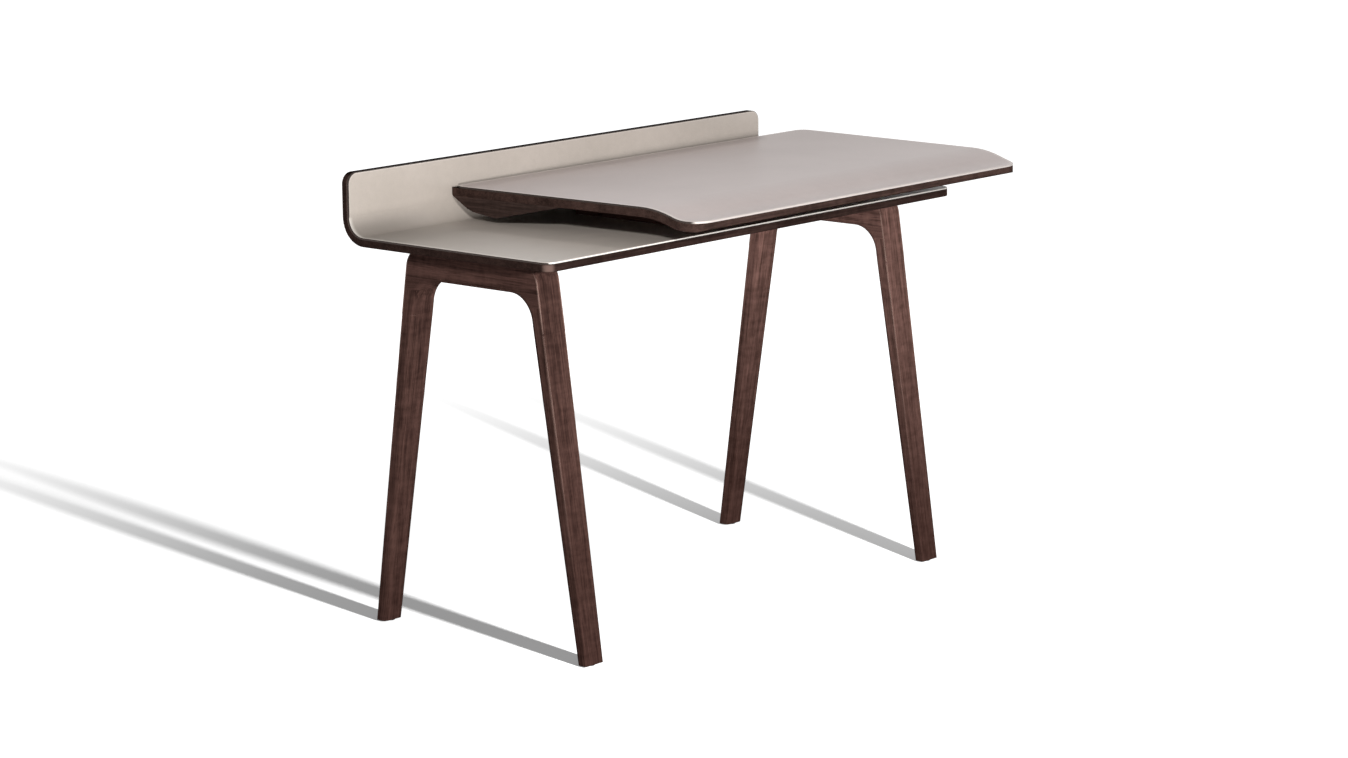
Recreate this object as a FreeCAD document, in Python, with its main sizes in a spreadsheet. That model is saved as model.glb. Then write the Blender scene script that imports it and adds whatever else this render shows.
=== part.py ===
import FreeCAD, Part
import os
import Sketcher

# A writing desk with a leather-faced tray on two splayed frames and a raised leather top that slides
# sideways over it. X runs along the length, Y to the back, Z up. The origin lies on the floor, at the
# middle of the box that the desk fills with the top slid to the right.

doc = FreeCAD.newDocument("writing_desk")
sizes = doc.addObject("Spreadsheet::Sheet", "sizes")
places = doc.addObject("Spreadsheet::Sheet", "places")

DRIVING_SIZES = (
    # Tray and its turned-up back
    ("tray_length", 1100),
    ("tray_depth", 476),
    ("tray_top", 692),
    ("tray_ply", 12.5),
    ("leather", 3.5),
    ("upstand_rise", 108),
    ("tray_bend", 32),
    ("tray_corner", 20),
    ("upstand_corner", 20),
    ("edge_ease", 1),
    # Side frames
    ("frame_inset", 56),
    ("frame_width", 55),
    ("frame_setback", 230),
    ("frame_top_span", 293),
    ("frame_foot_span", 494),
    ("rail_height", 56),
    ("rail_shoulder", 38),
    ("arch_radius", 50),
    ("rail_arm", 62),
    ("leg_depth", 26),
    ("leg_round", 9),
    ("foot_inner_step", 7.3),
    ("foot_depth", 21.5),
    ("foot_outer_step", 4.2),
    ("tenon_width", 30),
    ("tenon_depth", 10),
    ("tenon_height", 50),
    ("glide_diameter", 17),
    ("glide_thick", 2),
    ("glide_pin_diameter", 3),
    ("glide_pin_length", 14),
    # Stretchers under the tray
    ("stretcher_width", 50),
    ("stretcher_thick", 20),
    ("stretcher_spacing", 120),
    ("dowel_diameter", 8),
    ("dowel_length", 40),
    ("dowel_spacing", 26),
    # Screws that hold the tray and the bearers
    ("rail_screw_margin", 8.5),
    ("rail_screw_depth", 24),
    ("rail_bore_clearance", 1),
    ("stretcher_screw_inset", 79),
    ("bearer_screw_inset", 40),
    ("frame_screw_diameter", 5),
    ("frame_screw_head_diameter", 10),
    ("frame_screw_head_height", 3),
    ("tray_bite", 8),
    ("bearer_bite", 18),
    # Sliding top
    ("top_length", 971.5),
    ("top_end_inset", 19),
    ("top_shift", 178),
    ("top_rise", 60.5),
    ("top_ply", 14),
    ("top_back_gap", 7),
    ("top_corner", 46),
    ("top_back_corner", 6),
    ("leather_back_inset", 8),
    ("leather_back_corner", 20),
    ("lip_overhang", 91.5),
    ("lip_ply", 11),
    ("lip_undercut", 9),
    ("curve_front", 30),
    ("curve_run", 54),
    ("curve_drop", 18),
    ("crest_radius", 200),
    ("hollow_radius", 110),
    ("crest_run_share", 0.6),
    ("hollow_run_share", 0.38),
    # Rear shell under the sliding top
    ("shell_ply_up", 8),
    ("shell_ply_forward", 3),
    ("shell_back_inset", 4),
    ("shell_reach", 103),
    ("shell_bend_reach", 45),
    ("shell_foot_gap", 11.2),
    ("shell_bend_rise", 7),
    ("shell_bend_radius", 80),
    ("cheek_thick", 20),
    ("cheek_reach", 250.5),
    ("cleat_width", 25),
    ("cleat_thick", 6),
    ("cleat_screw_inset", 45.75),
    # Bearers and slide guides
    ("bearer_spacing", 220),
    ("bearer_width", 24),
    ("bearer_front", 42),
    ("bearer_back_gap", 20.5),
    ("guide_front_inset", 33),
    ("guide_rear_inset", 39),
    ("guide_width", 9),
    ("running_gap", 0.3),
    ("pad_thick", 1.5),
    ("bar_width", 24),
    ("bar_thick", 4),
    ("bar_end_margin", 3),
    ("bar_screw_inner", 100),
    ("bar_screw_margin", 30.5),
    ("spacer_clearance", 2),
    ("spacer_thick", 6),
    ("keeper_thick", 2),
    ("keeper_grip", 5),
    ("keeper_screw_diameter", 3),
    ("keeper_screw_head_diameter", 6),
    ("keeper_screw_head_height", 1.6),
    ("keeper_bite", 10),
    ("bar_screw_diameter", 3.5),
    ("bar_screw_head_diameter", 7),
    ("bar_screw_head_height", 2),
    ("top_bite", 9),
    ("stop_length", 16),
    ("stop_width", 20),
    ("stop_height", 12),
    ("stop_gap", 0.5),
    ("buffer_thick", 4),
)

DERIVED_PLACES = (
    # Middle of the tray and of the sliding top, and the tray's front edge
    ("mid_x", "(sizes.tray_length - sizes.top_length) / 4 - sizes.top_shift / 2"),
    ("top_x", "places.mid_x + sizes.top_shift"),
    ("front_y", "(sizes.lip_overhang - sizes.tray_depth) / 2"),
    ("frame_y", "places.front_y + sizes.frame_setback"),
    ("frame_x", "sizes.tray_length / 2 - sizes.frame_inset - sizes.frame_width / 2"),
    # Heights of the tray
    ("tray_face", "sizes.tray_top - sizes.leather"),
    ("tray_under", "places.tray_face - sizes.tray_ply"),
    ("upstand_top", "sizes.tray_top + sizes.upstand_rise"),
    # Depths measured back from the tray's front edge
    ("upstand_ply", "sizes.tray_depth - sizes.tray_ply"),
    ("upstand_face", "places.upstand_ply - sizes.leather"),
    ("top_back", "places.upstand_face - sizes.top_back_gap"),
    # Frame widths at the joint between rail and leg, and at the foot
    ("splay_share", "(sizes.frame_foot_span - sizes.frame_top_span) / places.tray_under"),
    ("seam_half", "(sizes.frame_foot_span - places.splay_share * places.leg_seam) / 2"),
    ("foot_half", "(sizes.frame_foot_span - places.splay_share * sizes.glide_thick) / 2"),
    ("arch_half", "(sizes.frame_foot_span - places.splay_share * places.arch_top) / 2 - sizes.leg_depth"),
    ("arch_top", "places.tray_under - sizes.rail_height"),
    ("leg_seam", "places.arch_top - sizes.rail_arm"),
    ("foot_width", "sizes.frame_width - sizes.foot_inner_step - sizes.foot_outer_step"),
    # Screws through the rails and the stretchers
    ("rail_screw_y", "places.arch_half - sizes.arch_radius - sizes.rail_screw_margin"),
    ("stretcher_half", "places.frame_x - sizes.frame_width / 2"),
    ("stretcher_screw_x", "places.stretcher_half - sizes.stretcher_screw_inset"),
    # Heights and depths of the sliding top
    ("top_height", "sizes.tray_top + sizes.top_rise"),
    ("top_face", "places.top_height - sizes.leather"),
    ("top_under", "places.top_face - sizes.top_ply"),
    ("lip_face", "places.top_face - sizes.curve_drop"),
    ("slope_length", "sqrt(sizes.curve_run ^ 2 + sizes.curve_drop ^ 2)"),
    ("slope_share", "(places.slope_length - sizes.curve_run) / sizes.curve_drop"),
    ("crest_bend", "min(sizes.crest_radius; sizes.crest_run_share * places.slope_length / places.slope_share)"),
    ("hollow_bend", "min(sizes.hollow_radius;"
     " sizes.hollow_run_share * places.slope_length / places.slope_share - sizes.leather - sizes.top_ply;"
     " (sizes.curve_front - sizes.lip_undercut - sizes.edge_ease) / places.slope_share - sizes.leather)"),
    ("curve_foot", "sizes.curve_front - sizes.lip_overhang"),
    ("curve_crest", "places.curve_foot + sizes.curve_run"),
    # Rear shell
    ("shell_foot", "places.top_back - sizes.shell_reach"),
    ("shell_bend", "places.top_back - sizes.shell_bend_reach"),
    ("shell_back", "places.top_back - sizes.shell_back_inset"),
    ("shell_foot_z", "sizes.tray_top + sizes.shell_foot_gap"),
    ("shell_bend_z", "places.shell_foot_z + sizes.shell_bend_rise"),
    ("shell_slope_share", "(places.shell_back - places.shell_bend) / (places.top_under - places.shell_bend_z)"),
    ("shell_inner_top", "places.shell_back - sizes.shell_ply_forward"
     " - sizes.shell_ply_up * places.shell_slope_share"),
    ("shell_length", "sizes.top_length - 2 * sizes.cheek_thick"),
    ("cheek_front", "places.top_back - sizes.cheek_reach"),
    ("cleat_under", "places.top_under - sizes.cleat_thick"),
    ("cleat_screw_step", "(sizes.top_length / 2 - sizes.cleat_screw_inset) / 2"),
    # Bearers and the crossings of bearers and guide bars, from the tray's front edge
    ("bearer_back", "places.shell_foot - sizes.shell_ply_forward - sizes.bearer_back_gap"),
    ("bearer_length", "places.bearer_back - sizes.bearer_front"),
    ("guide_front", "sizes.bearer_front + sizes.guide_front_inset"),
    ("guide_rear", "places.bearer_back - sizes.guide_rear_inset"),
    # Slide guides, from the top downwards
    ("bar_top", "places.top_under - sizes.spacer_thick"),
    ("bar_under", "places.bar_top - sizes.bar_thick"),
    ("pad_top", "places.bar_under - sizes.running_gap"),
    ("bearer_top", "places.pad_top - sizes.pad_thick"),
    ("guide_top", "places.bar_top + sizes.running_gap"),
    ("keeper_top", "places.guide_top + sizes.keeper_thick"),
    ("guide_offset", "sizes.bar_width / 2 + sizes.running_gap + sizes.guide_width / 2"),
    ("buffer_face", "(sizes.bearer_spacing + sizes.bearer_width) / 2 + sizes.top_shift + sizes.stop_gap"),
    ("stop_face", "places.buffer_face + sizes.buffer_thick"),
    ("bar_screw_outer", "places.buffer_face - sizes.bar_screw_margin"),
    ("spacer_width", "sizes.bar_width - 2 * (sizes.keeper_grip + sizes.spacer_clearance)"),
    ("bar_half", "places.stop_face + sizes.stop_length + sizes.bar_end_margin"),
)

MATCH_TOLERANCE = 0.01
LEFT, RIGHT = -1, 1
FRONT, BACK = -1, 1
SIDES = {LEFT: "left", RIGHT: "right"}
ENDS = {FRONT: "front", BACK: "back"}


def fill_sheet(sheet, rows, prefix):
    for row, (name, content) in enumerate(rows, start=1):
        sheet.set(f"A{row}", name)
        sheet.set(f"B{row}", f"{prefix}{content}")
        sheet.setAlias(f"B{row}", name)
    doc.recompute()


fill_sheet(sizes, DRIVING_SIZES, "")
fill_sheet(places, DERIVED_PLACES, "=")


def value(expression):
    return float(sizes.evalExpression(expression))


def bind(thing, **expressions):
    for prop, expression in expressions.items():
        thing.setExpression(prop, expression)
    return thing


def put(thing, x, y, z):
    for axis, expression in zip("xyz", (x, y, z)):
        thing.setExpression(f"Placement.Base.{axis}", expression)
    return thing


def new_body(label):
    body = doc.addObject("PartDesign::Body", label)
    body.Label = label
    return body


def outline(body, role, points):
    """A closed outline whose corners are bound to the sheets."""
    sketch = body.newObject("Sketcher::SketchObject", f"{body.Name}_outline")
    plane = [part for part in body.Origin.OriginFeatures if part.Role == role][0]
    sketch.AttachmentSupport = [(plane, "")]
    sketch.MapMode = "FlatFace"
    corners = [FreeCAD.Vector(value(u), value(v), 0) for u, v in points]
    count = len(corners)
    for index in range(count):
        sketch.addGeometry(Part.LineSegment(corners[index], corners[(index + 1) % count]))
    for index in range(count):
        sketch.addConstraint(Sketcher.Constraint("Coincident", index, 2, (index + 1) % count, 1))
    for index, pair in enumerate(points):
        for kind, axis, expression in zip(("DistanceX", "DistanceY"), "xy", pair):
            place = getattr(corners[index], axis)
            number = sketch.addConstraint(Sketcher.Constraint(kind, -1, 1, index, 1, place))
            sketch.renameConstraint(number, f"corner{index}{axis}")
            sketch.setExpression(f"Constraints.corner{index}{axis}", expression)
    return sketch


def pad(body, sketch, length, both_ways=True):
    feature = body.newObject("PartDesign::Pad", f"{body.Name}_pad")
    feature.Profile = sketch
    feature.setExpression("Length", length)
    feature.SideType = "Symmetric" if both_ways else "One side"
    doc.recompute()
    return feature


def pocket(body, sketch):
    """Cut the outline right through the body, both ways from its plane."""
    feature = body.newObject("PartDesign::Pocket", f"{body.Name}_pocket")
    feature.Profile = sketch
    feature.SideType = "Symmetric"
    feature.Type = "ThroughAll"
    doc.recompute()
    return feature


def matches(place, wanted):
    return wanted is None or abs(place - wanted) < MATCH_TOLERANCE


def edge_through(*spots):
    """A test for a straight edge whose ends match the given (x, y, z) spots, None matching any."""
    wanted = [[None if part is None else value(part) for part in spot] for spot in spots]

    def test(edge):
        ends = [vertex.Point for vertex in edge.Vertexes]
        if len(ends) != len(wanted):
            return False
        orders = (ends, ends[::-1])
        return any(all(matches(end[k], spot[k]) for end, spot in zip(order, wanted) for k in range(3))
                   for order in orders)
    return test


def along_x(y, z):
    return edge_through((None, y, z), (None, y, z))


def along_y(x, z):
    return edge_through((x, None, z), (x, None, z))


def along_z(x, y):
    return edge_through((x, y, None), (x, y, None))


def fillet(body, radius, *tests):
    """Round every edge of the body's last feature that passes one of the tests."""
    base = body.Tip
    names = [f"Edge{number}" for number, edge in enumerate(base.Shape.Edges, start=1)
             if any(test(edge) for test in tests)]
    if not names:
        raise RuntimeError(f"no edge to round on {body.Label}")
    feature = body.newObject("PartDesign::Fillet", f"{body.Name}_fillet")
    feature.Base = (base, names)
    feature.setExpression("Radius", radius)
    doc.recompute()
    return feature


def box(label, middle_x, middle_y, low_z, length, width, height):
    block = doc.addObject("Part::Box", label)
    bind(block, Length=length, Width=width, Height=height)
    return put(block, f"{middle_x} - ({length}) / 2", f"{middle_y} - ({width}) / 2", low_z)


def rod(label, x, y, low_z, diameter, height):
    cylinder = doc.addObject("Part::Cylinder", label)
    bind(cylinder, Radius=f"({diameter}) / 2", Height=height)
    return put(cylinder, x, y, low_z)


def group(label, members):
    bunch = doc.addObject("Part::Compound", label)
    bunch.Links = members
    bunch.Label = label
    return bunch


def screw(label, x, y, seat_z, kind, length, up=True):
    """A round-headed screw whose head bears on seat_z, with its shank above it or below."""
    head_height = f"sizes.{kind}_head_height"
    head_z = f"{seat_z} - {head_height}" if up else seat_z
    shank_z = seat_z if up else f"{seat_z} - ({length})"
    head = rod(f"{label}_head", x, y, head_z, f"sizes.{kind}_head_diameter", head_height)
    shank = rod(f"{label}_shank", x, y, shank_z, f"sizes.{kind}_diameter", length)
    whole = doc.addObject("Part::Fuse", label)
    whole.Base = head
    whole.Tool = shank
    return whole


def cut(label, base, *tools):
    """Cut each tool out of the base in turn; the last cut carries the label."""
    for tool in tools:
        result = doc.addObject("Part::Cut", f"{label}_cut")
        result.Base = base
        result.Tool = tool
        base = result
    base.Label = label
    return base


def common(label, first, second):
    result = doc.addObject("Part::Common", f"{label}_common")
    result.Base = first
    result.Tool = second
    result.Label = label
    return result


nodes = []

# Tray shell: plywood moulded with a turned-up back, rounded at the front corners and the upstand's ends
END = "sizes.tray_length / 2"
tray_blank = new_body("tray_blank")
pad(tray_blank, outline(tray_blank, "YZ_Plane", (
    ("0", "places.tray_under"),
    ("sizes.tray_depth", "places.tray_under"),
    ("sizes.tray_depth", "places.upstand_top"),
    ("places.upstand_ply", "places.upstand_top"),
    ("places.upstand_ply", "places.tray_face"),
    ("0", "places.tray_face"),
)), "sizes.tray_length")
fillet(tray_blank, "sizes.tray_bend + sizes.leather", along_x("places.upstand_ply", "places.tray_face"))
fillet(tray_blank, "sizes.tray_bend + sizes.leather + sizes.tray_ply",
       along_x("sizes.tray_depth", "places.tray_under"))
fillet(tray_blank, "sizes.tray_corner", along_z(END, "0"), along_z(f"-{END}", "0"))
fillet(tray_blank, "sizes.upstand_corner", along_y(END, "places.upstand_top"),
       along_y(f"-{END}", "places.upstand_top"))
fillet(tray_blank, "sizes.edge_ease", along_x("0", "places.tray_under"))
put(tray_blank, "places.mid_x", "places.front_y", "0")

# Tray leather: one hide over the tray and up the face of its back
leather_blank = new_body("tray_leather_blank")
pad(leather_blank, outline(leather_blank, "YZ_Plane", (
    ("0", "places.tray_face"),
    ("places.upstand_ply", "places.tray_face"),
    ("places.upstand_ply", "places.upstand_top"),
    ("places.upstand_face", "places.upstand_top"),
    ("places.upstand_face", "sizes.tray_top"),
    ("0", "sizes.tray_top"),
)), "sizes.tray_length")
fillet(leather_blank, "sizes.tray_bend", along_x("places.upstand_face", "sizes.tray_top"))
fillet(leather_blank, "sizes.tray_bend + sizes.leather", along_x("places.upstand_ply", "places.tray_face"))
fillet(leather_blank, "sizes.tray_corner", along_z(END, "0"), along_z(f"-{END}", "0"))
fillet(leather_blank, "sizes.upstand_corner", along_y(END, "places.upstand_top"),
       along_y(f"-{END}", "places.upstand_top"))
fillet(leather_blank, "sizes.edge_ease", along_x("0", "sizes.tray_top"))
put(leather_blank, "places.mid_x", "places.front_y", "0")

# Screws through the frame rails and the stretchers into the tray, and through the tray into the bearers
rail_screws = []
rail_bores = []
for side in SIDES:
    for end in ENDS:
        name = f"rail_screw_{SIDES[side]}_{ENDS[end]}"
        x = f"places.mid_x + {side} * places.frame_x"
        y = f"places.frame_y + {end} * places.rail_screw_y"
        seat = "places.tray_under - sizes.rail_screw_depth"
        rail_screws.append(screw(name, x, y, seat, "frame_screw", "sizes.rail_screw_depth + sizes.tray_bite"))
        rail_bores.append(rod(f"{name}_bore", x, y, "places.arch_top",
                              "sizes.frame_screw_head_diameter + 2 * sizes.rail_bore_clearance",
                              "sizes.rail_height - sizes.rail_screw_depth"))
rail_screws = group("rail_screws", rail_screws)
rail_bores = group("rail_bores", rail_bores)

stretcher_screws = []
for end in ENDS:
    for step in (LEFT, 0, RIGHT):
        stretcher_screws.append(screw(
            f"stretcher_screw_{ENDS[end]}", f"places.mid_x + {step} * places.stretcher_screw_x",
            f"places.frame_y + {end} * sizes.stretcher_spacing / 2",
            "places.tray_under - sizes.stretcher_thick", "frame_screw",
            "sizes.stretcher_thick + sizes.tray_bite"))
stretcher_screws = group("stretcher_screws", stretcher_screws)

BEARER_X = {side: f"places.mid_x + {side} * sizes.bearer_spacing / 2" for side in SIDES}
FIRST_SCREW_Y = "places.front_y + sizes.bearer_front + sizes.bearer_screw_inset"
bearer_screws = []
for side in SIDES:
    for y in (FIRST_SCREW_Y, "places.frame_y"):
        bearer_screws.append(screw(f"bearer_screw_{SIDES[side]}", BEARER_X[side], y, "places.tray_under",
                                   "frame_screw", "sizes.tray_ply + sizes.leather + sizes.bearer_bite"))
bearer_screws = group("bearer_screws", bearer_screws)

nodes.append(cut("tray_shell", tray_blank, rail_screws, stretcher_screws, bearer_screws))
nodes.append(cut("tray_leather", leather_blank, bearer_screws))
nodes += [rail_screws, stretcher_screws, bearer_screws]

# Loose tenons between the rails and the legs, dowels between the rails and the stretchers
leg_tenons = group("leg_tenons", [
    box(f"tenon_{SIDES[side]}_{ENDS[end]}", f"places.mid_x + {side} * places.frame_x",
        f"places.frame_y + {end} * (places.seam_half - sizes.leg_depth / 2)",
        "places.leg_seam - sizes.tenon_height / 2",
        "sizes.tenon_width", "sizes.tenon_depth", "sizes.tenon_height")
    for side in SIDES for end in ENDS])

dowels = []
for side in SIDES:
    for end in ENDS:
        for row in (LEFT, RIGHT):
            dowel = rod(f"dowel_{SIDES[side]}_{ENDS[end]}", "0", "0", "0",
                        "sizes.dowel_diameter", "sizes.dowel_length")
            dowel.Placement = FreeCAD.Placement(FreeCAD.Vector(), FreeCAD.Rotation(FreeCAD.Vector(0, 1, 0), 90))
            joint_x = f"places.mid_x + {side} * places.stretcher_half"
            put(dowel, f"{joint_x} - sizes.dowel_length / 2",
                f"places.frame_y + {end} * sizes.stretcher_spacing / 2 + {row} * sizes.dowel_spacing / 2",
                "places.tray_under - sizes.stretcher_thick / 2")
            dowels.append(dowel)
stretcher_dowels = group("stretcher_dowels", dowels)
nodes += [leg_tenons, stretcher_dowels]

# Side rails: each is the top of a frame, an arch with two short arms that the legs carry on
HALF_WIDTH = "sizes.frame_width / 2"


def on_arch(edge):
    """An edge on either side of a rail, along the inside of its arch and arms."""
    middle = edge.valueAt((edge.FirstParameter + edge.LastParameter) / 2)
    ends = [vertex.Point for vertex in edge.Vertexes]
    if not all(matches(abs(end.x), value(HALF_WIDTH)) for end in ends):
        return False
    if all(matches(end.z, value("places.leg_seam")) for end in ends):
        return False
    inner = value("places.seam_half - sizes.leg_depth")
    return abs(middle.y) < inner and middle.z < value("places.arch_top") + MATCH_TOLERANCE


def side_rail(label):
    rail = new_body(f"{label}_blank")
    top_half = "sizes.frame_top_span / 2"
    arm_half = "(places.seam_half - sizes.leg_depth)"
    pad(rail, outline(rail, "YZ_Plane", (
        (f"-{top_half}", "places.tray_under"),
        ("-places.seam_half", "places.leg_seam"),
        (f"-{arm_half}", "places.leg_seam"),
        ("-places.arch_half", "places.arch_top"),
        ("places.arch_half", "places.arch_top"),
        (arm_half, "places.leg_seam"),
        ("places.seam_half", "places.leg_seam"),
        (top_half, "places.tray_under"),
    )), "sizes.frame_width")
    fillet(rail, "sizes.arch_radius", along_x("places.arch_half", "places.arch_top"),
           along_x("-places.arch_half", "places.arch_top"))
    fillet(rail, "sizes.leg_round", on_arch)
    fillet(rail, "sizes.rail_shoulder", along_x(top_half, "places.tray_under"),
           along_x(f"-{top_half}", "places.tray_under"))
    return rail


for side in SIDES:
    label = f"{SIDES[side]}_rail"
    blank = put(side_rail(label), f"places.mid_x + {side} * places.frame_x", "places.frame_y", "0")
    nodes.append(cut(label, blank, rail_bores, rail_screws, leg_tenons, stretcher_dowels))


# Foot glides: a disc on a pin under each leg
def foot_spot(side, end):
    outer_x = "places.frame_x + sizes.frame_width / 2 - sizes.foot_outer_step"
    x = f"places.mid_x + {side} * ({outer_x} - places.foot_width / 2)"
    y = f"places.frame_y + {end} * (places.foot_half - sizes.foot_depth / 2)"
    return x, y


glides = []
for side in SIDES:
    for end in ENDS:
        name = f"glide_{SIDES[side]}_{ENDS[end]}"
        x, y = foot_spot(side, end)
        glide = doc.addObject("Part::Fuse", name)
        glide.Base = rod(f"{name}_disc", x, y, "0", "sizes.glide_diameter", "sizes.glide_thick")
        glide.Tool = rod(f"{name}_pin", x, y, "0", "sizes.glide_pin_diameter",
                         "sizes.glide_thick + sizes.glide_pin_length")
        glides.append(glide)
foot_glides = group("foot_glides", glides)
nodes.append(foot_glides)


# Legs: flat on the outer face, rounded on the inner one, narrowing to the foot
def leg(label, side, end):
    body = new_body(f"{label}_blank")
    pad(body, outline(body, "YZ_Plane", (
        (f"{end} * places.seam_half", "places.leg_seam"),
        (f"{end} * places.foot_half", "sizes.glide_thick"),
        (f"{end} * (places.foot_half - sizes.foot_depth)", "sizes.glide_thick"),
        (f"{end} * (places.seam_half - sizes.leg_depth)", "places.leg_seam"),
    )), "sizes.frame_width")
    inner_step = "sizes.foot_inner_step"
    for hand, step in ((side, "sizes.foot_outer_step"), (-side, inner_step)):
        pocket(body, outline(body, "XZ_Plane", (
            (f"{hand} * sizes.frame_width / 2", "places.leg_seam"),
            (f"{hand} * sizes.frame_width / 2", "sizes.glide_thick"),
            (f"{hand} * (sizes.frame_width / 2 - {step})", "sizes.glide_thick"),
        )))

    def long_edge(edge, inner):
        ends = [vertex.Point for vertex in edge.Vertexes]
        tall = abs(ends[0].z - ends[-1].z) > value("places.leg_seam") / 2
        upper = max(ends, key=lambda end_point: end_point.z)
        return tall and matches(abs(upper.y), value("places.seam_half")) != inner

    fillet(body, "sizes.leg_round", lambda edge: long_edge(edge, True))
    fillet(body, "sizes.edge_ease", lambda edge: long_edge(edge, False))
    return put(body, f"places.mid_x + {side} * places.frame_x", "places.frame_y", "0")


for side in SIDES:
    for end in ENDS:
        label = f"{ENDS[end]}_{SIDES[side]}_leg"
        nodes.append(cut(label, leg(label, side, end), leg_tenons, foot_glides))

# Stretchers: flat rails under the tray that tie the two frames together
for end in ENDS:
    label = f"{ENDS[end]}_stretcher"
    blank = box(f"{label}_blank", "places.mid_x", f"places.frame_y + {end} * sizes.stretcher_spacing / 2",
                "places.tray_under - sizes.stretcher_thick",
                "2 * places.stretcher_half", "sizes.stretcher_width", "sizes.stretcher_thick")
    nodes.append(cut(label, blank, stretcher_dowels, stretcher_screws))

# Bearers on the tray carry the slide: at each crossing the guide bar lies on a pad between two side
# guides, and a keeper plate on each side guide reaches over the bar's edge
GUIDE_Y = {FRONT: "places.front_y + places.guide_front", BACK: "places.front_y + places.guide_rear"}
CROSSINGS = [(side, end) for side in SIDES for end in ENDS]

pads = []
side_guides = []
keepers = []
keeper_screws = []
for side, end in CROSSINGS:
    spot = f"{SIDES[side]}_{ENDS[end]}"
    pads.append(box(f"pad_{spot}", BEARER_X[side], GUIDE_Y[end], "places.bearer_top",
                    "sizes.bearer_width", "sizes.bar_width", "sizes.pad_thick"))
    for hand in (FRONT, BACK):
        guide_y = f"{GUIDE_Y[end]} + {hand} * places.guide_offset"
        side_guides.append(box(f"guide_{spot}", BEARER_X[side], guide_y, "places.bearer_top",
                               "sizes.bearer_width", "sizes.guide_width", "places.guide_top - places.bearer_top"))
        keeper_reach = "(sizes.running_gap + sizes.keeper_grip)"
        keepers.append(box(f"keeper_{spot}", BEARER_X[side], f"{guide_y} - {hand} * {keeper_reach} / 2",
                           "places.guide_top", "sizes.bearer_width", f"sizes.guide_width + {keeper_reach}",
                           "sizes.keeper_thick"))
        keeper_screws.append(screw(
            f"keeper_screw_{spot}", BEARER_X[side], guide_y, "places.keeper_top", "keeper_screw",
            "places.keeper_top - places.bearer_top + sizes.keeper_bite", up=False))
keeper_screws = group("keeper_screws", keeper_screws)
nodes.append(group("slide_pads", pads))
nodes.append(cut("side_guides", group("side_guide_blanks", side_guides), keeper_screws))
nodes.append(cut("keeper_plates", group("keeper_blanks", keepers), keeper_screws))
nodes.append(keeper_screws)

for side in SIDES:
    label = f"{SIDES[side]}_bearer"
    blank = box(f"{label}_blank", BEARER_X[side],
                "places.front_y + sizes.bearer_front + places.bearer_length / 2", "sizes.tray_top",
                "sizes.bearer_width", "places.bearer_length", "places.bearer_top - sizes.tray_top")
    nodes.append(cut(label, blank, bearer_screws, keeper_screws))


# Sliding top: plywood of one section from end to end, flat behind and falling in a gentle S to the lip
def top_plan(label, back_inset, back_corner):
    """The outline of the top seen from above, as a tall block that trims the pieces made in section."""
    body = new_body(label)
    half = "sizes.top_length / 2"
    back = f"places.top_back - {back_inset}"
    front = "-sizes.lip_overhang"
    front_half = f"({half} - sizes.top_end_inset)"
    pad(body, outline(body, "XY_Plane", (
        (f"-{half}", back), (half, back), (front_half, front), (f"-{front_half}", front),
    )), "places.upstand_top", both_ways=False)
    fillet(body, "sizes.top_corner", along_z(front_half, front), along_z(f"-{front_half}", front))
    fillet(body, back_corner, along_z(half, back), along_z(f"-{half}", back))
    return put(body, "places.top_x", "places.front_y", "0")


def top_section(label, points, length="sizes.top_length"):
    body = new_body(label)
    pad(body, outline(body, "YZ_Plane", points), length)
    return put(body, "places.top_x", "places.front_y", "0")


FOOT_UNDER = "places.curve_foot + sizes.top_ply * places.slope_share"
CREST_UNDER = "places.curve_crest + sizes.top_ply * places.slope_share"
LIP_UNDER = "places.lip_face - sizes.top_ply"
panel_blank = top_section("top_panel_blank", (
    ("-sizes.lip_overhang", "places.lip_face - sizes.lip_ply"),
    ("sizes.lip_undercut - sizes.lip_overhang", LIP_UNDER),
    (FOOT_UNDER, LIP_UNDER),
    (CREST_UNDER, "places.top_under"),
    ("places.top_back", "places.top_under"),
    ("places.top_back", "places.top_face"),
    ("places.curve_crest", "places.top_face"),
    ("places.curve_foot", "places.lip_face"),
    ("-sizes.lip_overhang", "places.lip_face"),
))
fillet(panel_blank, "places.crest_bend - sizes.leather", along_x("places.curve_crest", "places.top_face"))
fillet(panel_blank, "places.hollow_bend + sizes.leather", along_x("places.curve_foot", "places.lip_face"))
fillet(panel_blank, "places.crest_bend - sizes.leather - sizes.top_ply", along_x(CREST_UNDER, "places.top_under"))
fillet(panel_blank, "places.hollow_bend + sizes.leather + sizes.top_ply", along_x(FOOT_UNDER, LIP_UNDER))
fillet(panel_blank, "sizes.edge_ease", along_x("places.top_back", "places.top_face"),
       along_x("places.top_back", "places.top_under"))

FOOT_OVER = "places.curve_foot - sizes.leather * places.slope_share"
CREST_OVER = "places.curve_crest - sizes.leather * places.slope_share"
LIP_OVER = "places.lip_face + sizes.leather"
hide_blank = top_section("top_leather_blank", (
    ("-sizes.lip_overhang", "places.lip_face"),
    ("places.curve_foot", "places.lip_face"),
    ("places.curve_crest", "places.top_face"),
    ("places.top_back - sizes.leather_back_inset", "places.top_face"),
    ("places.top_back - sizes.leather_back_inset", "places.top_height"),
    (CREST_OVER, "places.top_height"),
    (FOOT_OVER, LIP_OVER),
    ("-sizes.lip_overhang", LIP_OVER),
))
fillet(hide_blank, "places.crest_bend - sizes.leather", along_x("places.curve_crest", "places.top_face"))
fillet(hide_blank, "places.hollow_bend + sizes.leather", along_x("places.curve_foot", "places.lip_face"))
fillet(hide_blank, "places.crest_bend", along_x(CREST_OVER, "places.top_height"))
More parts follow.
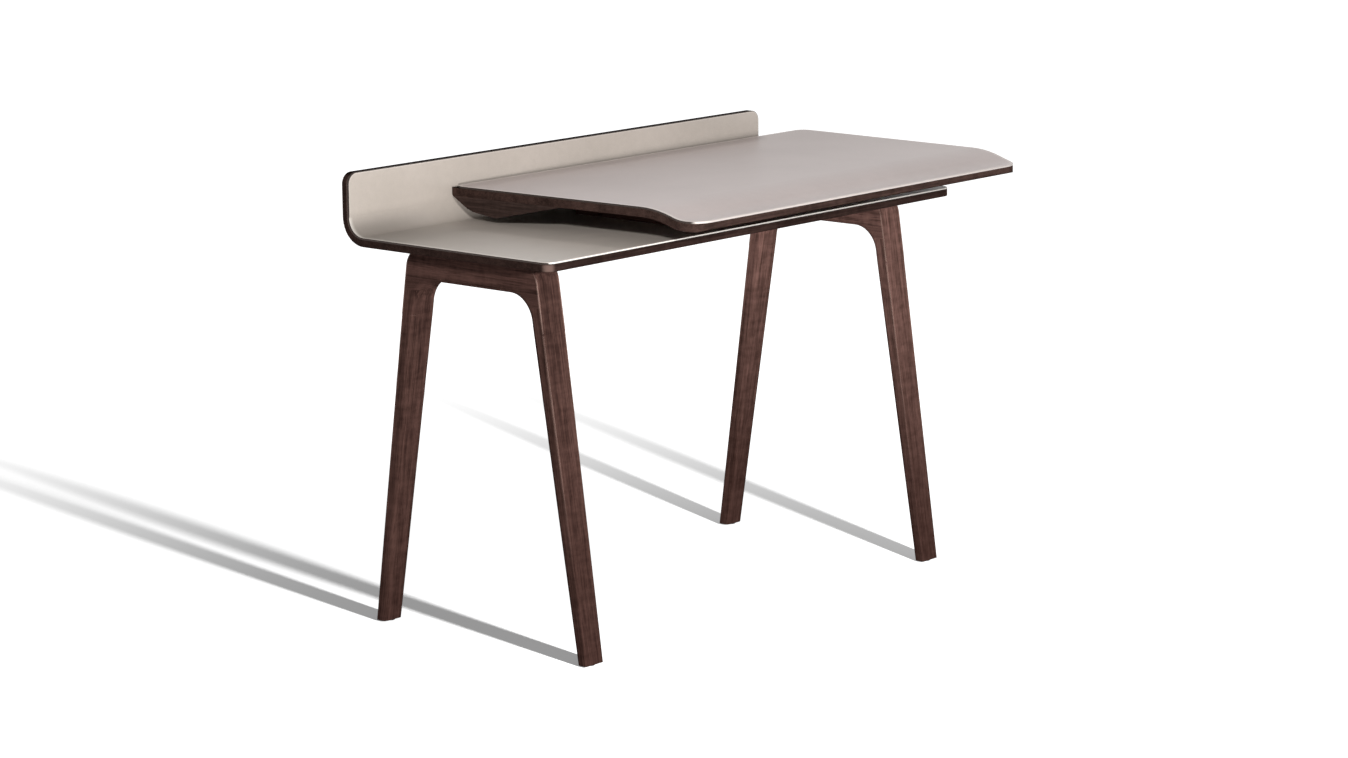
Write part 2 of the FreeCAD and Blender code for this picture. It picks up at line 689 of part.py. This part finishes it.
fillet(hide_blank, "places.hollow_bend", along_x(FOOT_OVER, LIP_OVER))
fillet(hide_blank, "sizes.edge_ease", along_x("-sizes.lip_overhang", LIP_OVER))

wood_plan = top_plan("top_wood_plan", "0", "sizes.top_back_corner")
hide_plan = top_plan("top_hide_plan", "sizes.leather_back_inset", "sizes.leather_back_corner")
nodes.append(common("top_leather", hide_blank, hide_plan))

# Rear shell: a curved skin under the top's back edge that sweeps down and forward over the tray
rear_shell = top_section("rear_shell", (
    ("places.shell_foot", "places.shell_foot_z"),
    ("places.shell_bend", "places.shell_bend_z"),
    ("places.shell_back", "places.top_under"),
    ("places.shell_inner_top", "places.top_under"),
    ("places.shell_bend - sizes.shell_ply_forward", "places.shell_bend_z + sizes.shell_ply_up"),
    ("places.shell_foot - sizes.shell_ply_forward", "places.shell_foot_z + sizes.shell_ply_up"),
), "places.shell_length")
fillet(rear_shell, "sizes.shell_bend_radius", along_x("places.shell_bend", "places.shell_bend_z"))
fillet(rear_shell, "sizes.shell_bend_radius - sizes.shell_ply_up",
       along_x("places.shell_bend - sizes.shell_ply_forward", "places.shell_bend_z + sizes.shell_ply_up"))
nodes.append(rear_shell)

# Shell cheeks: shaped blocks that close the shell's ends and run out forward under the top
cheek_blank = top_section("cheek_blank", (
    ("places.cheek_front", "places.top_under"),
    ("places.shell_foot", "places.shell_foot_z"),
    ("places.shell_bend", "places.shell_bend_z"),
    ("places.shell_back", "places.top_under"),
))
fillet(cheek_blank, "sizes.shell_bend_radius", along_x("places.shell_bend", "places.shell_bend_z"))
cheek_trimmed = common("cheek_trimmed", cheek_blank, wood_plan)
for side in SIDES:
    label = f"{SIDES[side]}_shell_cheek"
    end_block = box(f"{label}_block", f"places.top_x + {side} * (sizes.top_length - sizes.cheek_thick) / 2",
                    "places.front_y + sizes.tray_depth / 2", "sizes.tray_top",
                    "sizes.cheek_thick", "sizes.tray_depth", "sizes.top_rise")
    nodes.append(common(label, cheek_trimmed, end_block))

# Cleat: a strip in the corner between the shell and the top, screwed up into the top
cleat_blank = top_section("shell_cleat_blank", (
    ("places.shell_inner_top", "places.top_under"),
    ("places.shell_inner_top - sizes.cleat_width", "places.top_under"),
    ("places.shell_inner_top - sizes.cleat_width", "places.cleat_under"),
    ("places.shell_inner_top - sizes.cleat_thick * places.shell_slope_share", "places.cleat_under"),
), "places.shell_length")
CLEAT_Y = "places.front_y + places.shell_inner_top - (sizes.cleat_width + sizes.cleat_thick) / 2"
cleat_screws = group("cleat_screws", [
    screw("cleat_screw", f"places.top_x + {step} * places.cleat_screw_step", CLEAT_Y,
          "places.cleat_under + sizes.bar_screw_head_height", "bar_screw",
          "sizes.cleat_thick - sizes.bar_screw_head_height + sizes.top_bite")
    for step in range(-2, 3)])
nodes.append(cut("shell_cleat", cleat_blank, cleat_screws))
nodes.append(cleat_screws)

# Guide bars with their spacers, the travel stops under the bars' ends and the stops' soft faces
bar_screws = []
stops = []
buffers = []
stop_screws = []
for end in ENDS:
    for step in (LEFT, RIGHT):
        for reach in ("sizes.bar_screw_inner", "places.bar_screw_outer"):
            bar_screws.append(screw(
                f"bar_screw_{ENDS[end]}", f"places.top_x + {step} * {reach}", GUIDE_Y[end],
                "places.bar_under + sizes.bar_screw_head_height", "bar_screw",
                "sizes.bar_thick - sizes.bar_screw_head_height + sizes.spacer_thick + sizes.top_bite"))
        stop_x = f"places.top_x + {step} * (places.stop_face + sizes.stop_length / 2)"
        buffer_x = f"places.top_x + {step} * (places.buffer_face + sizes.buffer_thick / 2)"
        stop_z = "places.bar_under - sizes.stop_height"
        stops.append(box(f"stop_{ENDS[end]}", stop_x, GUIDE_Y[end], stop_z,
                         "sizes.stop_length", "sizes.stop_width", "sizes.stop_height"))
        buffers.append(box(f"buffer_{ENDS[end]}", buffer_x, GUIDE_Y[end], stop_z,
                           "sizes.buffer_thick", "sizes.stop_width", "sizes.stop_height"))
        stop_screws.append(screw(
            f"stop_screw_{ENDS[end]}", stop_x, GUIDE_Y[end], f"{stop_z} + sizes.bar_screw_head_height",
            "bar_screw", "sizes.stop_height - sizes.bar_screw_head_height + sizes.bar_thick"))
bar_screws = group("bar_screws", bar_screws)
stop_screws = group("stop_screws", stop_screws)
nodes.append(cut("travel_stops", group("stop_blanks", stops), stop_screws))
nodes.append(group("stop_buffers", buffers))
nodes += [bar_screws, stop_screws]

for end in ENDS:
    name = "rear" if end == BACK else "front"
    bar = box(f"{name}_bar_blank", "places.top_x", GUIDE_Y[end], "places.bar_under",
              "2 * places.bar_half", "sizes.bar_width", "sizes.bar_thick")
    spacer = box(f"{name}_spacer_blank", "places.top_x", GUIDE_Y[end], "places.bar_top",
                 "2 * places.bar_half", "places.spacer_width", "sizes.spacer_thick")
    nodes.append(cut(f"{name}_guide_bar", bar, bar_screws, stop_screws))
    nodes.append(cut(f"{name}_bar_spacer", spacer, bar_screws))

nodes.append(cut("top_panel", common("top_panel_trimmed", panel_blank, wood_plan), bar_screws, cleat_screws))

doc.recompute()
for thing in doc.Objects:
    if "Invalid" in thing.State or "Error" in thing.State:
        raise RuntimeError(f"{thing.Label} failed: {thing.State}")
for node in nodes:
    if node.Shape.isNull() or not node.Shape.isValid() or not node.Shape.Solids:
        raise RuntimeError(f"{node.Label} has no valid solid")

os.makedirs("parts", exist_ok=True)
for node in nodes:
    node.Shape.exportStep(f"parts/{node.Label}.step")
    print(node.Label, len(node.Shape.Solids), round(node.Shape.Volume))
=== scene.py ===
import bpy
import math
from mathutils import Matrix, Vector


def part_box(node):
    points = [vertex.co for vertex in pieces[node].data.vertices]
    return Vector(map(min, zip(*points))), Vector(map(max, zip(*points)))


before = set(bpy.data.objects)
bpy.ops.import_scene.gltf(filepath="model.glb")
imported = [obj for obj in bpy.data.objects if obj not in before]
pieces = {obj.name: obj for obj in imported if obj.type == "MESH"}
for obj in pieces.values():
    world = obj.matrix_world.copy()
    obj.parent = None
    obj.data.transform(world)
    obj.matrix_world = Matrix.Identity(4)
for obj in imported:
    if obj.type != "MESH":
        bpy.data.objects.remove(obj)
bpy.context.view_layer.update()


# Side frames: two arched rails, each standing on two legs that splay out and narrow to the foot.
# Open-pored ash, planed, rounded on its edges, stained dark brown and finished with a matt oil.
# Each leg is joined to its rail with a loose tenon, and the grain runs on across the seam.


class Tap:
    """One socket of a finish: sums of taps and numbers add Math nodes, and add() makes any other node."""

    def __init__(self, tree, socket=None):
        self.tree = tree
        self.socket = socket

    def add(self, kind, settings=None, sockets=None, output=0):
        node = self.tree.nodes.new(kind)
        for name, setting in (settings or {}).items():
            setattr(node, name, setting)
        for name, given in (sockets or {}).items():
            if isinstance(given, Tap):
                self.tree.links.new(given.socket, node.inputs[name])
            else:
                node.inputs[name].default_value = given
        return Tap(self.tree, node.outputs[output] if len(node.outputs) else None)

    def sum(self, operation, first, second):
        return self.add("ShaderNodeMath", {"operation": operation}, {0: first, 1: second})

    def __add__(self, other):
        return self.sum("ADD", self, other)

    def __radd__(self, other):
        return self.sum("ADD", other, self)

    def __sub__(self, other):
        return self.sum("SUBTRACT", self, other)

    def __rsub__(self, other):
        return self.sum("SUBTRACT", other, self)

    def __mul__(self, other):
        return self.sum("MULTIPLY", self, other)

    def __rmul__(self, other):
        return self.sum("MULTIPLY", other, self)

    def __truediv__(self, other):
        return self.sum("DIVIDE", self, other)

    def __abs__(self):
        return self.sum("ABSOLUTE", self, 0.0)

    def larger(self, other):
        return self.sum("MAXIMUM", self, other)

    def smaller(self, other):
        return self.sum("MINIMUM", self, other)

    def sign(self):
        return self.sum("SIGN", self, 0.0)

    def between(self, low, high):
        """0 at low, 1 at high, with a soft step between."""
        return self.add("ShaderNodeMapRange", {"interpolation_type": "SMOOTHSTEP"},
                        {"Value": self, "From Min": low, "From Max": high})

    def mix(self, first, second):
        """The first colour where this tap is 0, the second where it is 1."""
        return self.add("ShaderNodeMix", {"data_type": "RGBA"}, {0: self, 6: first, 7: second}, 2)

    def axes(self):
        return [self.add("ShaderNodeSeparateXYZ", {}, {0: self}, axis) for axis in range(3)]

    def noise(self, vector, detail, scale=1.0):
        return self.add("ShaderNodeTexNoise", {},
                        {"Vector": vector, "Scale": scale, "Detail": detail, "Roughness": 0.55})

    def spot(self):
        """The place on the piece, in metres."""
        return self.add("ShaderNodeTexCoord", {}, {}, "Object")

    def outward(self):
        """The direction in which the piece's surface faces."""
        return self.add("ShaderNodeTexCoord", {}, {}, "Normal")


def screen_colour(red, green, blue):
    """A colour as it looks on a screen, from 0 to 255, in the linear values that a shader takes."""
    parts = [part / 255 for part in (red, green, blue)]
    linear = [part / 12.92 if part <= 0.04045 else ((part + 0.055) / 1.055) ** 2.4 for part in parts]
    return (*linear, 1.0)


def new_finish(name):
    material = bpy.data.materials.new(name)
    material.use_nodes = True
    material.node_tree.nodes.clear()
    return material, Tap(material.node_tree)


def surface(start, sockets):
    """The finish's own shader, with these sockets, on the material's output."""
    shader = start.add("ShaderNodeBsdfPrincipled", {}, sockets)
    start.add("ShaderNodeOutputMaterial", {}, {"Surface": shader})


def coat(material, *names):
    for name in names:
        pieces[name].data.materials.clear()
        pieces[name].data.materials.append(material)


pore_stain = screen_colour(44, 29, 25)
# Painted shade: the colour that darkens the frames towards the floor.
floor_shade_colour = screen_colour(50, 28, 23)
# Painted highlight: the paler wood on upright arrises and rounded corners.
arris_highlight_wood = screen_colour(196, 162, 150)
# Painted shade: the dark colour laid on upward-facing wood.
upward_shade_wood = screen_colour(34, 25, 22)
shade_height = 0.68
highlight_low = 0.1
highlight_high = 0.6
edge_radius = 0.0012
highlight_radius = 0.005
matt = 0.0


def stained_ash(name, grain, darkest, palest, arris_highlight=0.0, foot_shade=0.0, rubbed_and_highlight=0.0):
    """Ash whose grain follows the third of the three taps that grain() makes from the place and the outward
    direction. The last three arguments give the share of painted highlight on its upright arrises, of
    painted shade towards the floor, and of painted highlight on its rounded corners."""
    material, start = new_finish(name)
    place = start.spot().axes()
    outward = start.outward().axes()
    across, over, along = grain(place, outward)
    height = place[2]

    def streaks(width, length, detail):
        stretched = {0: across / width, 1: over / width, 2: along / length}
        return start.noise(start.add("ShaderNodeCombineXYZ", {}, stretched), detail)

    boards = streaks(0.045, 0.6, 2)
    bands = streaks(0.009, 0.22, 3)
    curl = streaks(0.03, 0.012, 2)
    fibres = streaks(0.0022, 0.06, 3)
    pores = streaks(0.0009, 0.02, 2).between(0.58, 0.70)
    tone = (0.25 * boards + 0.35 * bands + 0.20 * curl + 0.40 * fibres).between(0.42, 0.78)
    colour = tone.mix(screen_colour(*darkest), screen_colour(*palest))
    colour = (0.5 * pores).mix(colour, pore_stain)
    # Painted shade: darker towards the floor.
    colour = (foot_shade * (1.0 - height.between(0.0, shade_height))).mix(colour, floor_shade_colour)

    rounded = start.add("ShaderNodeBevel", {"samples": 4}, {"Radius": edge_radius})
    blunted = start.add("ShaderNodeBevel", {"samples": 6}, {"Radius": highlight_radius})
    flat = start.add("ShaderNodeNewGeometry", {}, {}, "Normal")
    alike = start.add("ShaderNodeVectorMath", {"operation": "DOT_PRODUCT"}, {0: blunted, 1: flat}, "Value")
    turned = 1.0 - alike
    aside, ahead, above = (abs(part) for part in blunted.axes())
    upright = (aside * ahead).between(0.08, 0.3) * (1.0 - above.between(0.2, 0.3))
    crown = (aside * ahead).between(0.12, 0.52)
    arris = turned.between(0.01, 0.10) * upright * bands.between(0.2, 0.55)
    # Painted highlight: paler wood on the upper part of the upright arrises and on the rounded corners.
    highlight_share = arris_highlight * arris * height.between(highlight_low, highlight_high)
    colour = highlight_share.larger(rubbed_and_highlight * crown).mix(colour, arris_highlight_wood)

    # Painted shade: upward-facing wood is darkened and made rougher.
    facing_up = outward[2].between(0.7, 0.9)
    colour = (0.85 * facing_up).mix(colour, upward_shade_wood)
    rough = 0.28 + 0.12 * fibres + 0.16 * pores + 0.5 * facing_up
    relief = 0.5 * fibres - pores
    normal = start.add("ShaderNodeBump", {}, {"Strength": 0.35, "Distance": 0.0004, "Height": relief,
                                              "Normal": rounded})
    surface(start, {"Base Color": colour, "Roughness": rough, "Normal": normal, "Specular IOR Level": matt})
    return material


leg_lean = 0.1487
rail_height = 0.056
blend_below = 0.02
blend_above = 0.005
rail_low, rail_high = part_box("left_rail")
rail_middle = (rail_low.y + rail_high.y) / 2
arch_top = rail_high.z - rail_height


def along_leg(place, outward):
    x, y, z = place
    return x, y + leg_lean * (y - rail_middle).sign() * z, z


def along_rail(place, outward):
    """Along the desk's depth over the arch, and along the legs on the rail's arms and end faces."""
    x, y, z = place
    over, along = along_leg(place, outward)[1:]
    on_end = abs(outward[1]).between(0.6, 0.8)
    on_arm = 1.0 - z.between(arch_top - blend_below, arch_top + blend_above)
    like_leg = on_end.larger(on_arm)
    return x, z + like_leg * (over - z), y + like_leg * (along - y)


ash_dark = (58, 40, 36)
ash_pale = (120, 88, 80)
frame_tones = {
    "left": (ash_dark, ash_pale, 0.35),
    "right": ((77, 55, 49), (160, 120, 110), 0.68),
}
# Each side's last number is its share of painted shade towards the floor.
for side, (dark, pale, foot_shade) in frame_tones.items():
    leg_ash = stained_ash(f"{side}_leg_ash", along_leg, dark, pale, arris_highlight=1.0, foot_shade=foot_shade)
    rail_ash = stained_ash(f"{side}_rail_ash", along_rail, dark, pale, arris_highlight=1.0, foot_shade=foot_shade)
    coat(leg_ash, f"front_{side}_leg", f"back_{side}_leg")
    coat(rail_ash, f"{side}_rail")


# Tenons and dowels: loose beech pieces glued into the ends of the legs, rails and stretchers.
# Planed or turned, left bare, and hidden once the frame is glued up.


def bare_beech(name):
    material, start = new_finish(name)
    spot = start.spot()
    flecks = start.noise(spot, 3, 420.0)
    clouds = start.noise(spot, 2, 30.0)
    colour = (0.6 * flecks + 0.4 * clouds).mix(screen_colour(176, 132, 92), screen_colour(216, 180, 138))
    normal = start.add("ShaderNodeBump", {}, {"Strength": 0.2, "Distance": 0.0002, "Height": flecks})
    surface(start, {"Base Color": colour, "Roughness": 0.55 + 0.15 * flecks, "Normal": normal})
    return material


coat(bare_beech("tenon_beech"), "leg_tenons", "stretcher_dowels")


# Foot glides: a nylon disc on a steel pin, knocked into the end of each leg.
# Moulded in dark plastic, dulled by the floor. The slide pads and side guides are cut from the same nylon.


def dull_nylon(name, shade):
    material, start = new_finish(name)
    spot = start.spot()
    grit = start.noise(spot, 3, 2600.0)
    rubbed_and_highlight = start.noise(spot, 2, 90.0)
    darker = tuple(0.7 * part for part in shade[:3]) + (1.0,)
    colour = rubbed_and_highlight.mix(darker, shade)
    normal = start.add("ShaderNodeBump", {}, {"Strength": 0.25, "Distance": 0.0002, "Height": grit})
    surface(start, {"Base Color": colour, "Roughness": 0.42 + 0.22 * rubbed_and_highlight, "Normal": normal})
    return material


nylon = dull_nylon("glide_nylon", screen_colour(54, 52, 50))
coat(nylon, "foot_glides", "slide_pads", "side_guides")


# Stretchers: two flat ash rails under the tray that tie the side frames together.
# Dowelled into the rails and screwed up into the tray, with their grain along the desk.


def along_length(place, outward):
    x, y, z = place
    return y, z, x


long_ash = stained_ash("long_ash", along_length, ash_dark, ash_pale)
coat(long_ash, "front_stretcher", "back_stretcher")


# Tray shell: plywood moulded with a turned-up back, veneered and stained on its edges, back and underside.
# The veneer's grain runs along the desk, and a painted highlight makes it paler on its rounded corners and
# upright edges.

tray_ash = stained_ash("tray_ash", along_length, (44, 32, 29), (74, 56, 51), arris_highlight=0.2, rubbed_and_highlight=0.35)
coat(tray_ash, "tray_shell")


# Tray leather: one greige hide glued over the tray and up the face of its back.
# A painted highlight makes it pale along the front and at its rim, painted shade darkens it towards the
# back, most near its ends, and its ends are dyed to match the wood.

shaded_hide = screen_colour(96, 89, 82)
# Painted highlight: the near-white colour of the hide's front edges and rims.
edge_highlight_hide = screen_colour(246, 240, 232)
dyed_hide = screen_colour(40, 31, 27)
hide_edge_radius = 0.0010
hide_gloss = 0.8


def greige_hide(name, lowest, highest, trim):
    """Smooth hide between two tones; trim takes the place and the outward direction, each as three taps,
    and gives the share of painted highlight, of dyed leather and of painted shade there."""
    material, start = new_finish(name)
    spot = start.spot()
    pale, dyed, painted_shade = trim(spot.axes(), start.outward().axes())
    clouds = start.noise(spot, 3, 5.0)
    patches = start.noise(spot, 4, 60.0)
    pebbles = start.add("ShaderNodeTexVoronoi", {"feature": "SMOOTH_F1"}, {"Vector": spot, "Scale": 800.0})
    creases = start.noise(spot, 3, 1900.0)
    tone = (0.45 * clouds + 0.25 * patches + 0.2 * pebbles + 0.1 * creases).between(0.25, 0.75)
    colour = tone.mix(screen_colour(*lowest), screen_colour(*highest))
    # Painted shade: the hide is darkened towards its back.
    colour = painted_shade.mix(colour, shaded_hide)
    # Painted highlight: the pale front edges and rims.
    colour = pale.mix(colour, edge_highlight_hide)
    colour = dyed.mix(colour, dyed_hide)
    rounded = start.add("ShaderNodeBevel", {"samples": 6}, {"Radius": hide_edge_radius})
    relief = 0.7 * pebbles + 0.5 * creases
    normal = start.add("ShaderNodeBump", {}, {"Strength": 0.16, "Distance": 0.0003, "Height": relief,
                                              "Normal": rounded})
    rough = 0.31 + 0.06 * patches + 0.04 * pebbles + 0.3 * painted_shade + 0.7 * dyed
    surface(start, {"Base Color": colour, "Roughness": rough, "Normal": normal,
                    "Specular IOR Level": hide_gloss})
    return material


def from_rim(first, second, corner):
    """The distance inside two edges that meet in a rounded corner, no larger than the corner's radius."""
    short = first.add("ShaderNodeCombineXYZ", {}, {0: (corner - first).larger(0.0),
                                                   1: (corner - second).larger(0.0)})
    return corner - first.add("ShaderNodeVectorMath", {"operation": "LENGTH"}, {0: short}, "Value")


tray_low, tray_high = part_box("tray_leather")
tray_middle = (tray_low.x + tray_high.x) / 2
tray_half = (tray_high.x - tray_low.x) / 2
tray_depth = tray_high.y - tray_low.y
tray_corner = 0.020
tray_bend = 0.032
flat_depth = 0.30
# Widths of the painted highlight along the rims.
highlight_rim = (0.001, 0.010)
highlight_back_rim = (0.0005, 0.004)
dyed_rim = (0.0008, 0.0016)


def tray_trim(place, outward):
    x, y, z = place
    depth = y - tray_low.y
    rise = z - tray_low.z
    aside = abs(x - tray_middle)
    from_end = tray_half - aside
    on_back = rise.between(tray_bend, tray_bend + 0.006)
    on_flat = 1.0 - depth.between(flat_depth, flat_depth + 0.02)
    front = on_flat * (1.0 - abs(outward[2]).between(0.5, 0.75))

    from_back_edge = from_rim(from_end, tray_high.z - z, tray_corner)
    back_rim = 1.0 - from_back_edge.between(*highlight_back_rim)
    flat_rim = 1.0 - from_rim(from_end, depth, tray_corner).between(*highlight_rim)
    # Painted highlight: front-facing edges pale, and a paler rim along the back and the flat.
    pale = front.larger(0.3 * (on_back * back_rim + (1.0 - on_back) * flat_rim))

    dyed_ends = abs(outward[0]).between(0.55, 0.75)
    dyed_back = on_back * (1.0 - from_back_edge.between(*dyed_rim))
    dyed_front = front * (1.0 - rise.between(*dyed_rim))
    dyed = dyed_ends.larger(dyed_back).larger(dyed_front)

    # Painted shade: darker towards the back, most near the ends.
    to_back = depth.between(0.05, tray_depth) * (1.0 - rise.between(0.01, 0.05))
    to_ends = aside.between(tray_half - 0.30, tray_half - 0.05)
    return pale, dyed, to_back * (0.25 + 0.55 * to_ends)


tray_hide = greige_hide("tray_hide", (171, 162, 153), (187, 177, 168), tray_trim)
coat(tray_hide, "tray_leather")


# Screws, keeper plates and guide bars: bright steel.
# Turned or sawn from bar, brushed along their length and driven in from below, out of sight.


def brushed_steel(name, order):
    """Steel brushed along the last of the three axes in order, which are 0 for x, 1 for y and 2 for z."""
    material, start = new_finish(name)
    spot = start.spot()
    place = spot.axes()
    across, over, along = (place[axis] for axis in order)
    stretched = {0: across / 0.0005, 1: over / 0.0005, 2: along / 0.03}
    lines = start.noise(start.add("ShaderNodeCombineXYZ", {}, stretched), 3)
    smudges = start.noise(spot, 3, 45.0)
    colour = (0.5 * lines + 0.5 * smudges).mix(screen_colour(158, 158, 160), screen_colour(206, 206, 206))
    rough = 0.28 + 0.18 * smudges
    normal = start.add("ShaderNodeBump", {}, {"Strength": 0.15, "Distance": 0.0001, "Height": lines})
    surface(start, {"Base Color": colour, "Metallic": 1.0, "Roughness": rough, "Normal": normal})
    return material


screw_steel = brushed_steel("screw_steel", (0, 1, 2))
bar_steel = brushed_steel("bar_steel", (1, 2, 0))
coat(screw_steel, "rail_screws", "stretcher_screws", "bearer_screws", "keeper_screws", "cleat_screws",
     "bar_screws", "stop_screws")
coat(bar_steel, "keeper_plates", "front_guide_bar", "rear_guide_bar")


# Bearers: two ash rails that stand on the tray, screwed from below, and carry the sliding top.
# The spacers, the stops and the cleat are of the same wood.


def along_depth(place, outward):
    x, y, z = place
    return x, z, y


bearer_ash = stained_ash("bearer_ash", along_depth, ash_dark, ash_pale)
coat(bearer_ash, "left_bearer", "right_bearer")
coat(long_ash, "front_bar_spacer", "rear_bar_spacer", "shell_cleat", "travel_stops")


# Stop buffers: small rubber blocks on the stops that meet the bearers softly.
# Cut from black sheet rubber and glued on.

coat(dull_nylon("buffer_rubber", screen_colour(34, 33, 32)), "stop_buffers")


# Sliding top: plywood, flat behind and falling in a gentle S to a thin lip in front, stained on its edges.
# Under its back edge a thin curved shell sweeps down over the tray, closed at each end by a shaped cheek.

top_ash = stained_ash("top_ash", along_length, (52, 39, 35), (92, 71, 65))
cheek_ash = stained_ash("cheek_ash", along_depth, (58, 46, 42), (88, 71, 66))
coat(top_ash, "top_panel", "rear_shell")
coat(cheek_ash, "left_shell_cheek", "right_shell_cheek")


# Top leather: the same hide as the tray's, glued over the sliding top and held back from its rear edge.
# A painted highlight makes its front edge and rim pale like the tray's, painted shade darkens it towards
# the back, and its ends, which taper to the front, are dyed.

top_low, top_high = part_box("top_leather")
top_middle = (top_low.x + top_high.x) / 2
top_half = (top_high.x - top_low.x) / 2
top_depth = top_high.y - top_low.y
end_taper = 0.019 / 0.545
front_corner = 0.046
back_corner = 0.020


def top_trim(place, outward):
    x, y, z = place
    depth = y - top_low.y
    from_back = top_high.y - y
    from_end = top_half - end_taper * from_back - abs(x - top_middle)
    front_rim = from_rim(from_end, depth, front_corner)
    back_rim = from_rim(from_end, from_back, back_corner)
    rim = 1.0 - front_rim.smaller(back_rim).between(*highlight_rim)
    front = 1.0 - abs(outward[2]).between(0.5, 0.75)
    # Painted highlight: the front-facing edge and the rim are paler.
    pale = (0.35 * front).larger(0.25 * rim)
    dyed = abs(outward[0]).between(0.6, 0.8)
    # The last share is painted shade, darker towards the back.
    return pale, dyed, 0.22 * depth.between(0.05, top_depth)


top_hide = greige_hide("top_hide", (163, 149, 145), (179, 165, 161), top_trim)
coat(top_hide, "top_leather")


# Studio: a pale floor without a visible end and even white light from all round.
# Soft lamps in front light the wood, the leather and the leather's edges, and two behind light the back.
# One more in front throws the legs' shadows on the floor.


def in_sight(start):
    """1 where the studio is seen, mirrored or seen through glass, and 0 where it only gives light."""
    straight, mirrored, through = (
        start.add("ShaderNodeLightPath", {}, {}, ray)
        for ray in ("Is Camera Ray", "Is Glossy Ray", "Is Transmission Ray")
    )
    return straight.larger(mirrored).larger(through)


half_floor = 40.0
floor_corners = [(-half_floor, -half_floor, 0.0), (half_floor, -half_floor, 0.0),
                 (half_floor, half_floor, 0.0), (-half_floor, half_floor, 0.0)]
floor_mesh = bpy.data.meshes.new("floor")
floor_mesh.from_pydata(floor_corners, [], [(0, 1, 2, 3)])
floor = bpy.data.objects.new("floor", floor_mesh)
bpy.context.scene.collection.objects.link(floor)
floor_paint, start = new_finish("floor_paint")
seen = in_sight(start)
pool = (-0.35, 0.10, 0.0)
reach = start.add("ShaderNodeVectorMath", {"operation": "DISTANCE"}, {0: start.spot(), 1: pool}, "Value")
glow = 0.22 + 0.78 * reach.between(0.2, 2.5)
paint = start.add("ShaderNodeBsdfDiffuse", {}, {"Color": 0.12 + 0.28 * seen})
shine = start.add("ShaderNodeEmission", {}, {"Color": seen * glow})
both = start.add("ShaderNodeAddShader", {}, {0: paint, 1: shine})
start.add("ShaderNodeOutputMaterial", {}, {"Surface": both})
floor.data.materials.append(floor_paint)

room = bpy.data.worlds.new("room")
bpy.context.scene.world = room
room.use_nodes = True
room.node_tree.nodes.clear()
start = Tap(room.node_tree)
walls = start.add("ShaderNodeBackground", {}, {"Color": 0.30 + 0.70 * in_sight(start)})
start.add("ShaderNodeOutputWorld", {}, {"Surface": walls})


def soft_lamp(name, place, aim, size, watts, lit):
    """A round lamp that lights only the given objects and isn't mirrored in them."""
    light = bpy.data.lights.new(name, "AREA")
    light.shape = "DISK"
    light.size = size
    light.energy = watts
    lamp = bpy.data.objects.new(name, light)
    lamp.location = place
    lamp.visible_glossy = False
    lamp.rotation_mode = "QUATERNION"
    lamp.rotation_quaternion = (Vector(aim) - Vector(place)).to_track_quat("-Z", "Y")
    bpy.context.scene.collection.objects.link(lamp)
    lit_pieces = bpy.data.collections.new(name + "_pieces")
    for piece in lit:
        lit_pieces.objects.link(piece)
    lamp.light_linking.receiver_collection = lit_pieces


hides = [pieces["tray_leather"], pieces["top_leather"]]
others = [piece for piece in pieces.values() if piece not in hides]
hide_aim = (-0.05, 0.0, 0.7)
soft_lamp("wood_lamp", (-2.1, -4.0, 1.46), (-0.05, 0.0, 0.6), size=0.26, watts=120.0, lit=others)
soft_lamp("leather_lamp", (-3.78, -2.63, 2.73), hide_aim, size=0.40, watts=200.0, lit=hides)
soft_lamp("edge_lamp", (-3.77, -3.35, 0.74), hide_aim, size=0.15, watts=175.0, lit=hides)
soft_lamp("rear_lamp", (2.4, 3.0, 3.2), (0.0, 0.0, 0.7), size=0.80, watts=70.0, lit=hides)
soft_lamp("back_lamp", (2.6, 3.9, 0.5), (0.0, 0.0, 0.5), size=0.60, watts=120.0, lit=pieces.values())
soft_lamp("floor_lamp", (-1.36, -4.3, 1.46), (-0.05, 0.0, 0.0), size=0.17, watts=1600.0, lit=[floor])


# Camera: a long lens to the left of the desk and a little above its top, tilted down to it.
# Its place, turn and focal length were solved from the desk's straight edges in the photograph.

camera_place = Vector((-5.02963, -4.26701, 1.68731))
yaw, pitch, roll = (math.radians(angle) for angle in (49.2773, 11.1837, -0.4340))
ahead = Vector((math.sin(yaw) * math.cos(pitch), math.cos(yaw) * math.cos(pitch), -math.sin(pitch)))
level = Vector((math.cos(yaw), -math.sin(yaw), 0.0))
upright = level.cross(ahead)
right = math.cos(roll) * level + math.sin(roll) * upright
up = math.cos(roll) * upright - math.sin(roll) * level
lens = bpy.data.cameras.new("camera")
lens.sensor_fit = "HORIZONTAL"
lens.sensor_width = 36.0
lens.lens = 99.99
lens.clip_end = 200.0
camera = bpy.data.objects.new("camera", lens)
camera.matrix_world = Matrix((
    (right.x, up.x, -ahead.x, camera_place.x),
    (right.y, up.y, -ahead.y, camera_place.y),
    (right.z, up.z, -ahead.z, camera_place.z),
    (0.0, 0.0, 0.0, 1.0),
))
bpy.context.scene.collection.objects.link(camera)
bpy.context.scene.camera = camera
bpy.context.scene.view_settings.view_transform = "Standard"
